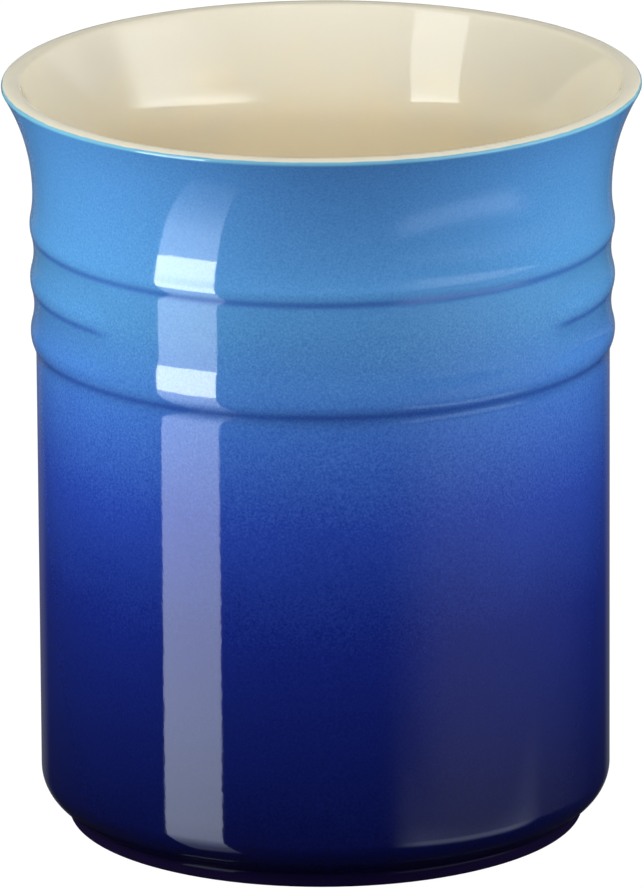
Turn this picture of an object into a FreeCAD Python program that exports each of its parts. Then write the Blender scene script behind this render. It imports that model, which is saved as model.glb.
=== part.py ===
"""Utensil crock: a straight stoneware jar with a flared rim, three moulded rings and a low foot, glazed.

Lengths are in millimetres and angles in degrees. +Z is up, the origin is the centre of the standing ring
under the foot, and the plain panel between the rings faces -Y.
"""

import FreeCAD, Part
import math
import os
from collections import namedtuple
from enum import IntEnum

import Sketcher
from FreeCAD import Placement, Rotation, Vector

# The driving dimensions: alias, value and what it measures.
SIZES = (
    ("height", 182.0, "standing ring to the top of the lip"),
    ("wall_radius", 68.5, "outside of the straight wall"),
    ("wall_thickness", 5.0, "straight wall, glaze included"),
    ("floor_thickness", 7.0, "floor, glaze included"),
    ("corner_round", 12.0, "inside corner between wall and floor"),
    ("heel_round", 9.0, "outside corner between wall and underside"),
    ("foot_height", 3.5, "underside above the standing ring"),
    ("foot_inset", 6.6, "wall to the outside of the foot ring"),
    ("foot_width", 9.0, "foot ring, outside to inside"),
    ("foot_root_share", 0.5, "share of the floor that the foot ring's root reaches into"),
    ("foot_edge_round", 1.0, "edges of the standing ring"),
    ("bare_foot", 0.2, "bare clay at the bottom of the foot ring"),
    ("ring_drop", 34.8, "lip to the crest of the top ring"),
    ("ring_pitch", 13.2, "crest to crest of the rings"),
    ("ring_proud", 1.25, "crests beyond the straight wall"),
    ("ring_round", 7.0, "convex round of a ring's crest"),
    ("valley_round", 18.0, "concave round of a valley between rings"),
    ("step_round", 8.0, "concave round under the lowest ring"),
    ("panel_angle", 94.0, "plain front panel, where the middle ring is left out"),
    ("panel_rise", 0.1, "plain panel beyond the bottom of the valleys"),
    ("panel_exit", 26.0, "straight run on which the panel leaves the wall at each end"),
    ("neck_rise", 7.5, "crest of the top ring to the neck, where the flare starts"),
    ("neck_depth", 0.75, "neck inside the ring crests"),
    ("rim_reach", 6.35, "rim beyond the ring crests"),
    ("lip_width", 4.8, "lip, outside to inside"),
    ("crown_round", 6.0, "crowned top of the lip"),
    ("edge_round", 0.8, "outer edge of the lip"),
    ("brim_round", 1.5, "inner edge of the lip"),
    ("throat_drop", 28.0, "lip to the height where the inside starts to flare"),
    ("throat_round", 28.0, "round between the inside wall and the slope of its flare"),
    ("glaze_thickness", 0.4, "every coat of glaze"),
    ("glaze_line", 98.0, "height where the lower glaze meets the upper one"),
    ("overrun", 6.0, "how far cutting solids run past what they cut"),
)

# Measures that several pieces share, written in the sheet's aliases.
COAT = "Sizes.glaze_thickness"
NO_COAT = "0 * Sizes.glaze_thickness"
RING_RADIUS = "(Sizes.wall_radius + Sizes.ring_proud)"
RIM_RADIUS = "(Sizes.wall_radius + Sizes.ring_proud + Sizes.rim_reach)"
NECK_RADIUS = "(Sizes.wall_radius + Sizes.ring_proud - Sizes.neck_depth)"
INNER_RADIUS = "(Sizes.wall_radius - Sizes.wall_thickness)"
FOOT_RADIUS = "(Sizes.wall_radius - Sizes.foot_inset)"
FLOOR_TOP = "(Sizes.foot_height + Sizes.floor_thickness)"
TOP_RING = "(Sizes.height - Sizes.ring_drop)"
MIDDLE_RING = "(Sizes.height - Sizes.ring_drop - Sizes.ring_pitch)"
LOW_RING = "(Sizes.height - Sizes.ring_drop - 2 * Sizes.ring_pitch)"
PANEL_FOOT = f"(({MIDDLE_RING} + {LOW_RING}) / 2)"
NECK_HEIGHT = "(Sizes.height - Sizes.ring_drop + Sizes.neck_rise)"
THROAT_HEIGHT = "(Sizes.height - Sizes.throat_drop)"
# Centres of the lip's rounds. Those of its edges touch the crown from the inside.
CROWN_X = f"({RIM_RADIUS} - Sizes.lip_width / 2)"
CROWN_Z = "(Sizes.height - Sizes.crown_round)"
EDGE_X = f"({RIM_RADIUS} - Sizes.edge_round)"
EDGE_Z = (
    f"({CROWN_Z} + sqrt(pow(Sizes.crown_round - Sizes.edge_round; 2)"
    " - pow(Sizes.lip_width / 2 - Sizes.edge_round; 2)))"
)
BRIM_X = f"({RIM_RADIUS} - Sizes.lip_width + Sizes.brim_round)"
BRIM_Z = (
    f"({CROWN_Z} + sqrt(pow(Sizes.crown_round - Sizes.brim_round; 2)"
    " - pow(Sizes.lip_width / 2 - Sizes.brim_round; 2)))"
)
# Centre of a valley's round, which touches the rounds of the crests above and below it.
VALLEY_X = (
    f"({RING_RADIUS} - Sizes.ring_round"
    " + sqrt(pow(Sizes.ring_round + Sizes.valley_round; 2) - pow(Sizes.ring_pitch / 2; 2)))"
)
# The plain panel, a little beyond the bottom of the valleys, so that its edges cut them cleanly.
PANEL_RADIUS = f"({VALLEY_X} - Sizes.valley_round + Sizes.panel_rise)"

UPWARD = Vector(0, 0, 1)
FRONT = -90


class Point(IntEnum):
    """How a sketch numbers the points of a piece."""

    START = 1
    END = 2
    CENTRE = 3


ORIGIN = (-1, Point.START)

Arc = namedtuple("Arc", "x z radius turn")

doc = FreeCAD.newDocument("utensil_crock")
sheet = doc.addObject("Spreadsheet::Sheet", "Sizes")
for row, (alias, number, words) in enumerate(SIZES, start=1):
    sheet.set(f"A{row}", words)
    sheet.set(f"B{row}", str(number))
    sheet.setAlias(f"B{row}", alias)
doc.recompute()


def value(expression):
    """The number that an expression in the sheet's aliases comes to."""
    return float(sheet.evalExpression(expression))


def origin_plane(body, role):
    """One of the body's own origin planes."""
    return next(plane for plane in body.Origin.OriginFeatures if plane.Role == role)


def new_sketch(body, name, role):
    """An empty sketch on an origin plane of the body."""
    sketch = body.newObject("Sketcher::SketchObject", name)
    sketch.AttachmentSupport = [(origin_plane(body, role), "")]
    sketch.MapMode = "FlatFace"
    return sketch


def dimension(sketch, kind, ends, expression):
    """A dimension of the sketch that follows the sheet."""
    index = sketch.addConstraint(Sketcher.Constraint(kind, *ends, value(expression)))
    sketch.setExpression(f"Constraints[{index}]", expression)


# Rounds of the half section. A coat's thickness shrinks the convex rounds and widens the hollow ones.


def round_at(x, z, radius, turn, coat):
    """A round with its radius measured on a face that is set back by the coat."""
    return Arc(x, z, radius - turn * coat, turn)


def valley_at(height, coat):
    """The hollow round between two rings, at the height of its bottom."""
    return round_at(value(VALLEY_X), height, value("Sizes.valley_round"), -1, coat)


def outer_rounds(coat):
    """The rounds of the outside, from the heel to the crown of the lip, as {name: Arc}."""
    wall = value("Sizes.wall_radius")
    ring = value(RING_RADIUS)
    neck = value(NECK_RADIUS)
    heel = value("Sizes.heel_round")
    crest = value("Sizes.ring_round")
    step = value("Sizes.step_round")
    edge = value("Sizes.edge_round")
    neck_z = value(NECK_HEIGHT)
    # Each round that has no radius of its own gets the one with which it touches its neighbours.
    step_span = crest + step
    step_fall = math.sqrt(step_span**2 - (step_span - (ring - wall)) ** 2)
    neck_rise = value("Sizes.neck_rise")
    neck_round = ((ring - neck) ** 2 + neck_rise**2) / (2 * (ring - neck)) - crest
    reach = neck - value(EDGE_X)
    rise = value(EDGE_Z) - neck_z
    flare_round = (reach**2 + rise**2 - edge**2) / (2 * (edge - reach))
    return {
        "heel": round_at(wall - heel, value("Sizes.foot_height") + heel, heel, 1, coat),
        "step": round_at(wall + step, value(LOW_RING) - step_fall, step, -1, coat),
        "low_ring": round_at(ring - crest, value(LOW_RING), crest, 1, coat),
        "low_valley": valley_at(value(PANEL_FOOT), coat),
        "middle_ring": round_at(ring - crest, value(MIDDLE_RING), crest, 1, coat),
        "high_valley": valley_at(value(PANEL_FOOT) + value("Sizes.ring_pitch"), coat),
        "top_ring": round_at(ring - crest, value(TOP_RING), crest, 1, coat),
        "neck": round_at(neck + neck_round, neck_z, neck_round, -1, coat),
        "flare": round_at(neck + flare_round, neck_z, flare_round, -1, coat),
        "edge": round_at(value(EDGE_X), value(EDGE_Z), edge, 1, coat),
        "crown": round_at(value(CROWN_X), value(CROWN_Z), value("Sizes.crown_round"), 1, coat),
    }


def inner_rounds(coat):
    """The rounds of the inside, from the lip's inner edge to the corner, as {name: Arc}."""
    inner = value(INNER_RADIUS)
    throat = value("Sizes.throat_round")
    corner = value("Sizes.corner_round")
    return {
        "brim": round_at(value(BRIM_X), value(BRIM_Z), value("Sizes.brim_round"), 1, coat),
        "throat": round_at(inner + throat, value(THROAT_HEIGHT), throat, 1, coat),
        "corner": round_at(inner - corner, value(FLOOR_TOP) + corner, corner, -1, coat),
    }


def east(arc):
    return Vector(arc.x + arc.radius, arc.z)


def west(arc):
    return Vector(arc.x - arc.radius, arc.z)


def lowest(arc):
    return Vector(arc.x, arc.z - arc.radius)


def touch(first, second):
    """The point where two rounds touch, on the line through their centres."""
    share = first.radius / (first.radius - first.turn * second.turn * second.radius)
    start = Vector(first.x, first.z)
    return start + (Vector(second.x, second.z) - start) * share


def slope_ends(upper, lower):
    """The points where the straight slope of the inside's flare touches the rounds above and below it."""
    way = Vector(upper.x - lower.x, upper.z - lower.z)
    bearing = math.atan2(way.y, way.x) + math.acos((lower.radius - upper.radius) / way.Length)
    facing = Vector(math.cos(bearing), math.sin(bearing))
    return [Vector(arc.x, arc.z) + facing * arc.radius for arc in (upper, lower)]


class Outline:
    """A closed outline in a sketch, whose pieces run from joint to joint, smoothly where rounds meet."""

    def __init__(self, sketch):
        self.sketch = sketch
        self.index = {}
        self.ends = {}
        self.rounds = set()

    def draw(self, pieces, joints):
        """Draws the pieces, each a name with an Arc or None for a line, and ties each to the next."""
        for place, (name, arc) in enumerate(pieces):
            first = joints[place]
            second = joints[(place + 1) % len(joints)]
            if arc is None:
                self.index[name] = self.sketch.addGeometry(Part.LineSegment(first, second))
                self.ends[name] = (Point.START, Point.END)
                continue
            self.rounds.add(name)
            low, high = (first, second) if arc.turn > 0 else (second, first)
            low_angle = math.atan2(low.y - arc.z, low.x - arc.x)
            high_angle = math.atan2(high.y - arc.z, high.x - arc.x)
            if high_angle < low_angle:
                high_angle += 2 * math.pi
            circle = Part.Circle(Vector(arc.x, arc.z), UPWARD, arc.radius)
            self.index[name] = self.sketch.addGeometry(Part.ArcOfCircle(circle, low_angle, high_angle))
            self.ends[name] = (Point.START, Point.END) if arc.turn > 0 else (Point.END, Point.START)
        names = [name for name, arc in pieces]
        for before, after in zip(names, names[1:] + names[:1]):
            smooth = before in self.rounds or after in self.rounds
            kind = "Tangent" if smooth else "Coincident"
            self.sketch.addConstraint(Sketcher.Constraint(kind, *self.last(before), *self.first(after)))

    def first(self, name):
        return self.index[name], self.ends[name][0]

    def last(self, name):
        return self.index[name], self.ends[name][1]

    def level(self, *names):
        for name in names:
            self.sketch.addConstraint(Sketcher.Constraint("Horizontal", self.index[name]))

    def upright(self, *names):
        for name in names:
            self.sketch.addConstraint(Sketcher.Constraint("Vertical", self.index[name]))

    def on_axis(self, name):
        self.sketch.addConstraint(Sketcher.Constraint("Vertical", *self.first(name), *ORIGIN))

    def level_with(self, name, centre_of):
        ends = (*self.last(name), *self.centre(centre_of))
        self.sketch.addConstraint(Sketcher.Constraint("Horizontal", *ends))

    def radius(self, name, expression):
        dimension(self.sketch, "Radius", (self.index[name],), expression)

    def across(self, point, expression):
        dimension(self.sketch, "DistanceX", (*ORIGIN, *point), expression)

    def up(self, point, expression):
        dimension(self.sketch, "DistanceY", (*ORIGIN, *point), expression)

    def centre(self, name):
        return self.index[name], Point.CENTRE


def draw_section(sketch, coat):
    """Half section of the jar without its foot ring, every face set back by the coat."""
    out = outer_rounds(value(coat))
    inner = inner_rounds(value(coat))
    set_back = value(coat)
    joints = [
        Vector(0, value("Sizes.foot_height") + set_back),
        lowest(out["heel"]),
        east(out["heel"]),
        west(out["step"]),
        touch(out["step"], out["low_ring"]),
        touch(out["low_ring"], out["low_valley"]),
        touch(out["low_valley"], out["middle_ring"]),
        touch(out["middle_ring"], out["high_valley"]),
        touch(out["high_valley"], out["top_ring"]),
        touch(out["top_ring"], out["neck"]),
        touch(out["neck"], out["flare"]),
        touch(out["flare"], out["edge"]),
        touch(out["edge"], out["crown"]),
        touch(out["crown"], inner["brim"]),
        *slope_ends(inner["brim"], inner["throat"]),
        west(inner["throat"]),
        east(inner["corner"]),
        lowest(inner["corner"]),
        Vector(0, value(FLOOR_TOP) - set_back),
    ]
    pieces = [
        ("underside", None),
        ("heel", out["heel"]),
        ("wall", None),
        ("step", out["step"]),
        ("low_ring", out["low_ring"]),
        ("low_valley", out["low_valley"]),
        ("middle_ring", out["middle_ring"]),
        ("high_valley", out["high_valley"]),
        ("top_ring", out["top_ring"]),
        ("neck", out["neck"]),
        ("flare", out["flare"]),
        ("edge", out["edge"]),
        ("crown", out["crown"]),
        ("brim", inner["brim"]),
        ("slope", None),
        ("throat", inner["throat"]),
        ("inner_wall", None),
        ("corner", inner["corner"]),
        ("floor", None),
        ("axis", None),
    ]
    line = Outline(sketch)
    line.draw(pieces, joints)
    line.level("underside", "floor")
    line.upright("wall", "inner_wall", "axis")
    line.on_axis("underside")
    line.level_with("neck", "flare")
    line.up(line.first("underside"), f"Sizes.foot_height + {coat}")
    line.radius("heel", f"Sizes.heel_round - {coat}")
    line.across(line.first("wall"), f"Sizes.wall_radius - {coat}")
    line.radius("step", f"Sizes.step_round + {coat}")
    for name, height in (("low_ring", LOW_RING), ("middle_ring", MIDDLE_RING), ("top_ring", TOP_RING)):
        line.radius(name, f"Sizes.ring_round - {coat}")
        line.up(line.centre(name), height)
        line.across(line.centre(name), f"{RING_RADIUS} - Sizes.ring_round")
    for name in ("low_valley", "high_valley"):
        line.radius(name, f"Sizes.valley_round + {coat}")
    line.across(line.last("neck"), f"{NECK_RADIUS} - {coat}")
    line.up(line.last("neck"), NECK_HEIGHT)
    for name, centre_x in (("edge", EDGE_X), ("crown", CROWN_X), ("brim", BRIM_X)):
        line.radius(name, f"Sizes.{name}_round - {coat}")
        line.across(line.centre(name), centre_x)
    line.up(line.centre("crown"), CROWN_Z)
    line.across(line.first("inner_wall"), f"{INNER_RADIUS} + {coat}")
    line.radius("throat", f"Sizes.throat_round - {coat}")
    line.up(line.last("throat"), THROAT_HEIGHT)
    line.radius("corner", f"Sizes.corner_round + {coat}")
    line.up(line.first("floor"), f"{FLOOR_TOP} - {coat}")


def revolve(body, sketch, name):
    """Turns a half section once round the upright axis."""
    turned = body.newObject("PartDesign::Revolution", name)
    turned.Profile = sketch
    turned.ReferenceAxis = (sketch, ["V_Axis"])
    turned.Angle = 360
    return turned


def add_foot_ring(body, coat):
    """The foot ring under the jar, rooted in the floor, with its standing edges rounded."""
    sketch = new_sketch(body, f"{body.Name}_foot_section", "XY_Plane")
    outside = f"{FOOT_RADIUS} - {coat}"
    inside = f"{FOOT_RADIUS} - Sizes.foot_width + {coat}"
    for radius in (outside, inside):
        index = sketch.addGeometry(Part.Circle(Vector(0, 0), UPWARD, value(radius)))
        sketch.addConstraint(Sketcher.Constraint("Coincident", index, Point.CENTRE, *ORIGIN))
        dimension(sketch, "Radius", (index,), radius)
    pad = body.newObject("PartDesign::Pad", f"{body.Name}_foot_ring")
    pad.Profile = sketch
    pad.setExpression("Length", "Sizes.foot_height + Sizes.floor_thickness * Sizes.foot_root_share")
    doc.recompute()
    standing = [
        f"Edge{place}"
        for place, edge in enumerate(pad.Shape.Edges, start=1)
        if edge.BoundBox.ZMax < value(COAT)
    ]
    rounded = body.newObject("PartDesign::Fillet", f"{body.Name}_foot_edges")
    rounded.Base = (pad, standing)
    rounded.setExpression("Radius", f"Sizes.foot_edge_round - {coat}")


def jar_blank(name, coat):
    """The jar with its faces set back by the coat and all its rings whole.

    The seam of its round faces lies at the back, away from the front panel.
    """
    body = doc.addObject("PartDesign::Body", name)
    body.Placement = Placement(Vector(0, 0, 0), Rotation(UPWARD, -FRONT))
    section = new_sketch(body, f"{name}_section", "XZ_Plane")
    draw_section(section, coat)
    revolve(body, section, f"{name}_turned")
    add_foot_ring(body, coat)
    return body


def primitive(kind, name, **sizes):
    """A Part primitive whose sizes follow the sheet."""
    solid = doc.addObject(f"Part::{kind}", name)
    for size, expression in sizes.items():
        solid.setExpression(size, expression)
    return solid


def disc(name, radius, height, base):
    """An upright cylinder on the axis, from the height of its base."""
    solid = primitive("Cylinder", name, Radius=radius, Height=height)
    solid.setExpression("Placement.Base.z", base)
    return solid


def boolean(kind, name, base, tool):
    """Part::Cut or Part::Common of two solids."""
    result = doc.addObject(f"Part::{kind}", name)
    result.Base = base
    result.Tool = tool
    return result


def mirrored(point):
    """A point of the panel's plan on the other side of the front."""
    return Vector(point.x, -point.y)


def panel_tool(name, coat):
    """The solid that takes the middle ring away at the front, down to a plain panel.

    Its face is round the jar's axis, and leaves the wall along a tangent at each end of the panel.
    """
    body = doc.addObject("PartDesign::Body", name)
    body.Placement = Placement(Vector(0, 0, value(PANEL_FOOT)), Rotation(UPWARD, FRONT))
    sketch = new_sketch(body, f"{name}_plan", "XY_Plane")
    radius = value(f"{PANEL_RADIUS} - {coat}")
    half = math.radians(value("Sizes.panel_angle / 2"))
    run = value("Sizes.panel_exit")
    past_rings = value(f"{RING_RADIUS} + Sizes.overrun")
    edge = Vector(radius * math.cos(half), radius * math.sin(half))
    far = edge + Vector(-run * math.sin(half), run * math.cos(half))
    corner = Vector(past_rings, far.y)
    face = Arc(0, 0, radius, 1)
    joints = [mirrored(edge), edge, far, corner, mirrored(corner), mirrored(far)]
    pieces = [
        ("face", face),
        ("left_exit", None),
        ("left_side", None),
        ("front", None),
        ("right_side", None),
        ("right_exit", None),
    ]
    line = Outline(sketch)
    line.draw(pieces, joints)
    sketch.addConstraint(Sketcher.Constraint("Coincident", *line.centre("face"), *ORIGIN))
    line.level("left_side", "right_side")
    line.upright("front")
    line.radius("face", f"{PANEL_RADIUS} - {coat}")
    across = f"({PANEL_RADIUS} - {coat}) * cos(Sizes.panel_angle / 2)"
    line.across(line.first("left_exit"), across)
    line.across(line.first("face"), across)
    for side in ("left_exit", "right_exit"):
        dimension(sketch, "Distance", (line.index[side],), "Sizes.panel_exit")
    line.across(line.first("front"), f"{RING_RADIUS} + Sizes.overrun")
    pad = body.newObject("PartDesign::Pad", f"{name}_block")
    pad.Profile = sketch
    pad.setExpression("Length", "Sizes.ring_pitch")
    return body


def panelled_jar(name, coat):
    """A jar blank with its middle ring taken away at the front panel."""
    blank = jar_blank(f"{name}_blank", coat)
    jar = boolean("Cut", name, blank, panel_tool(f"{name}_panel", coat))
    doc.recompute()
    if not jar.Shape.Volume < blank.Shape.Volume:
        raise RuntimeError(f"the panel cut nothing from {name}")
    return jar


def inside_zone():
    """A solid that holds the inside and the lip's top. Its wall lies in the clay, its seam on the lip."""
    body = doc.addObject("PartDesign::Body", "inside_zone")
    sketch = new_sketch(body, "inside_zone_section", "XZ_Plane")
    inner = inner_rounds(value("Sizes.brim_round"))
    past_rim = f"{RIM_RADIUS} + Sizes.overrun"
    past_top = "Sizes.height + Sizes.overrun"
    corner = inner["corner"]._replace(turn=1)
    throat = inner["throat"]._replace(turn=-1)
    slope_top, slope_foot = slope_ends(inner["brim"], throat)
    joints = [
        Vector(0, lowest(corner).y),
        lowest(corner),
        east(corner),
        west(throat),
        slope_foot,
        slope_top,
        Vector(value(EDGE_X), value(EDGE_Z)),
        Vector(value(past_rim), value(EDGE_Z)),
        Vector(value(past_rim), value(past_top)),
        Vector(0, value(past_top)),
    ]
    pieces = [
        ("floor", None),
        ("corner", corner),
        ("wall", None),
        ("throat", throat),
        ("slope", None),
        ("bridge", None),
        ("seam", None),
        ("rise", None),
        ("lid", None),
        ("axis", None),
    ]
    line = Outline(sketch)
    line.draw(pieces, joints)
    line.level("floor", "seam", "lid")
    line.upright("wall", "rise", "axis")
    line.on_axis("floor")
    line.up(line.first("floor"), f"{FLOOR_TOP} - Sizes.brim_round")
    line.radius("corner", "Sizes.corner_round + Sizes.brim_round")
    line.across(line.first("wall"), f"{INNER_RADIUS} + Sizes.brim_round")
    line.up(line.last("wall"), THROAT_HEIGHT)
    line.radius("throat", "Sizes.throat_round - Sizes.brim_round")
    line.across(line.first("bridge"), BRIM_X)
    line.up(line.first("bridge"), BRIM_Z)
    line.across(line.first("seam"), EDGE_X)
    line.up(line.first("seam"), EDGE_Z)
    line.across(line.first("rise"), past_rim)
    line.up(line.first("lid"), past_top)
    revolve(body, sketch, "inside_zone_turned")
    return body


def glaze_coats(clay):
    """What the glazed jar has over the clay, shared out among the inside, the base and the outside."""
    past_rim = f"{RIM_RADIUS} + Sizes.overrun"
    inside = inside_zone()
    base = disc(
        "base_zone",
        f"{FOOT_RADIUS} - Sizes.foot_width / 2",
        "Sizes.foot_height + Sizes.floor_thickness * Sizes.foot_root_share",
        NO_COAT,
    )
    upper = disc(
        "upper_zone", past_rim, "Sizes.height + Sizes.overrun - Sizes.glaze_line", "Sizes.glaze_line"
    )
    bare = disc("bare_zone", past_rim, "Sizes.bare_foot", NO_COAT)
    whole = boolean("Cut", "whole_glaze", panelled_jar("glazed_jar", NO_COAT), clay)
    glaze = boolean("Cut", "glaze", whole, bare)
    not_inside = boolean("Cut", "glaze_but_inside", glaze, inside)
    outside = boolean("Cut", "outer_glaze", not_inside, base)
    return [
        boolean("Common", "inner_glaze", glaze, inside),
        boolean("Common", "base_glaze", not_inside, base),
        boolean("Common", "upper_glaze", outside, upper),
        boolean("Cut", "lower_glaze", outside, upper),
    ]


def check(pieces):
    """Stops if any object of the document failed, or a piece isn't one sound solid."""
    failed = [thing.Name for thing in doc.Objects if {"Invalid", "Error"} & set(thing.State)]
    if failed:
        raise RuntimeError(f"these failed to build: {failed}")
    for piece in pieces:
        shape = piece.Shape
        if shape.isNull() or not shape.isValid() or len(shape.Solids) != 1:
            raise RuntimeError(f"{piece.Label} isn't one sound solid")


def main():
    clay = panelled_jar("stoneware_body", COAT)
    pieces = [clay] + glaze_coats(clay)
    for piece in pieces:
        piece.Label = piece.Name
    doc.recompute()
    check(pieces)
    os.makedirs("parts", exist_ok=True)
    for piece in pieces:
        piece.Shape.exportStep(f"parts/{piece.Label}.step")
        print(f"{piece.Label}: {piece.Shape.Volume:.1f} cubic millimetres")


main()
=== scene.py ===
"""Looks of a glazed stoneware utensil crock, laid out as an add-on and run as a script.

Lengths are in metres, and angles in radians where nothing else is said. +Z is up, the jar stands on z = 0,
and the plain panel between its rings faces -Y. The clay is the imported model's own, and each coat of glaze
is turned here on the same profile.
"""

import math
from collections import namedtuple

import bmesh
import bpy
from bpy.props import FloatProperty, FloatVectorProperty, IntProperty, PointerProperty
from bpy.types import Operator, Panel, PropertyGroup
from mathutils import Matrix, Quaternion, Vector


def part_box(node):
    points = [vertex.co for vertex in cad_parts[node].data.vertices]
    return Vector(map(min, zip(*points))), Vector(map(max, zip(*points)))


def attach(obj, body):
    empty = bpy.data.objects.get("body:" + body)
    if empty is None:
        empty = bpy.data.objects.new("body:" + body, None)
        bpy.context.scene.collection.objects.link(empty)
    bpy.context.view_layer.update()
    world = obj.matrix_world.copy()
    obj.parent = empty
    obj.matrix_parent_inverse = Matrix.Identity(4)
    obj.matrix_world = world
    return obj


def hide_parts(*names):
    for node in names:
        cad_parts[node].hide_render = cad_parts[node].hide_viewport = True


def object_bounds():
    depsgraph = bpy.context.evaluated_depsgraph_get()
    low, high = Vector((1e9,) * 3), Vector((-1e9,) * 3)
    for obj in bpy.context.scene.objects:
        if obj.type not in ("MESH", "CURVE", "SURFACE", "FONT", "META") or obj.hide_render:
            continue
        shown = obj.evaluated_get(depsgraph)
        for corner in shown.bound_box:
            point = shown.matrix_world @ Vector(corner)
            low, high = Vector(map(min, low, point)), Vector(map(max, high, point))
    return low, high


bl_info = {
    "name": "Utensil Crock",
    "version": (1, 0, 0),
    "blender": (4, 5, 0),
    "location": "3D View > Sidebar > Crock",
    "description": "Turns the glaze coats of a stoneware utensil crock and sets its stage",
    "category": "Object",
}

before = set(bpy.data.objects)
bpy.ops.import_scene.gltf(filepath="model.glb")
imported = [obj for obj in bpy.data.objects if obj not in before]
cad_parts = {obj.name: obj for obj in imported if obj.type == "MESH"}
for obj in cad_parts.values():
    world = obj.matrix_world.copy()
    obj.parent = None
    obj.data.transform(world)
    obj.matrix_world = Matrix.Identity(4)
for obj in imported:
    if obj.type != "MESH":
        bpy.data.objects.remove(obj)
CAD_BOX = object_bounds()
LOWER_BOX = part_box("lower_glaze")
MM = 0.001

# Spacing of the points along a section, and the faces round the jar
COARSE = 4.0 * MM
MEDIUM = 1.2 * MM
FINE = 0.5 * MM
TINY = 0.12 * MM
STEPS_ROUND = 240

# Points of a coat that are nearer to each other than this are one, and edges sharper than this stay crisp
WELD = 0.001 * MM
CUT_EDGE = math.radians(50)

# Every glaze: matt colour under a clear layer that bends light as glass does
COLOUR_ROUGHNESS = 0.7
GLASS_IOR = 1.5

# Outer glaze: where each colour of the fade is pure, as a share of the jar's height
FADE = (
    ("foot_blue", 0.025),
    ("navy", 0.06),
    ("indigo", 0.34),
    ("cobalt", 0.50),
    ("belt", 0.62),
    ("azure", 0.76),
    ("lip_blue", 0.96),
)
GRAIN_ROUGHNESS = 0.6
CLOUD_SIZE = 18.0 * MM
# Reach of the grain and of the clouds, as multiples of the mottle's shift and shade
GRAIN_REACH = 2.0
CLOUD_REACH = 0.5
MOTTLE_GAIN = 4.0
# Below the top of the lip: where the glaze begins to thin, and where it is thin
THIN_LIP = (1.7 * MM, 1.1 * MM)
# Heights between which the clear layer sets in
DRY_FOOT = (2.5 * MM, 4.0 * MM)

# Inner glaze: below the top of the lip, where it is fully the warmer deep cream and where it is plain cream,
# and the clouds in that
DEEP_TAN_DEPTHS = (40.0 * MM, 4.0 * MM)
DEEP_TAN_CLOUD = 14.0 * MM
DEEP_TAN_SHIFT = 24.0 * MM
# Dark specks: their spacing, how many of the places have one, and their size as a share of the spacing
SPECK_SPACING = 9.0 * MM
SPECK_SHARE = 0.07
SPECK_REACH = 0.03
# Inside the rim's radius: where the glaze begins to break, and where it has
BROKEN_LIP = (0.55 * MM, 0.25 * MM)

# Wavy edge of both glazes on the lip
EDGE_WAVE = 5.0 * MM
OUTER_WOBBLE = 0.5 * MM
INNER_WOBBLE = 0.4 * MM

# Glaze under the jar, and bare clay
BASE_CLOUD = 2.0 * MM
GROG_SIZE = 0.8 * MM
GROG_ROUGHNESS = 0.65
GROG_RANGE = (0.45, 0.75)
CLAY_ROUGHNESS = 0.85
CLAY_GRAIN = 0.5 * MM
CLAY_DEPTH = 0.05 * MM

# Soft lights of the sky: where each side begins and where it is full, in degrees
Patch = namedtuple("Patch", "left right foot top")
GLOW = Patch(left=(17, 52), right=(140, 52), foot=(-6, 1), top=(24, 18))
STREAK = Patch(left=(17, 52), right=(165, 110), foot=(-6, 1), top=(13, 8))
# The backdrop's edge, the same way, by the share of a ray's way that leads backwards
BACKDROP_EDGE = (0.84, 0.93)

# Floor, and the dark sheets just above it that only reflections see
FLOOR_RADIUS = 8.0
FLOOR_ROUGHNESS = 0.9
FLOOR_GLOW = 1.05
DISC_SIDES = 128
Sheet = namedtuple("Sheet", "name radius height gloss")
SHEETS = (
    Sheet("black_ground", radius=FLOOR_RADIUS, height=0.05 * MM, gloss=0.0),
    Sheet("dark_table", radius=0.8, height=0.1 * MM, gloss=0.5),
)
SHEET_COLOUR = (0.01, 0.01, 0.01, 1.0)
SHEET_ROUGHNESS = 0.05
SHEET_IOR = 3.3
SHEET_TINT = (0.72, 0.76, 1.0, 1.0)

# An upright lamp: degrees from the front, distance, heights of its foot and top, width, brightness, colour.
# One that shows in reflections also has its fade by height, and the share of its width that fades at a side
Lamp = namedtuple(
    "Lamp", "name azimuth distance low high width radiance hue fade soft", defaults=(None, 0.0)
)

# Heights on the lamps that show in reflections, and their share of the full brightness there
STRIP_FADE = (
    (0.13, 1.0),
    (0.20, 0.72),
    (0.29, 0.46),
    (0.36, 0.34),
    (0.42, 0.22),
    (0.55, 0.17),
    (0.70, 0.0),
)
BOX_FADE = ((0.20, 0.0), (0.24, 0.4), (0.28, 1.0), (0.37, 1.0), (0.42, 0.45), (0.50, 0.0))

TOP_LAMP_HEIGHT = 1.0
TOP_LAMP_SIZE = 0.9


# Properties that a user would change


def length(name, description, default):
    """A size in metres."""
    return FloatProperty(name=name, description=description, default=default, unit="LENGTH", precision=5)


def angle(name, description, degrees):
    """An angle, given in degrees."""
    return FloatProperty(name=name, description=description, default=math.radians(degrees), subtype="ANGLE")


def colour(name, description, default):
    """A linear colour."""
    return FloatVectorProperty(
        name=name, description=description, default=default, subtype="COLOR", size=3, min=0.0, max=1.0
    )


def amount(name, description, default):
    """A plain number."""
    return FloatProperty(name=name, description=description, default=default, precision=4)


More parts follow.
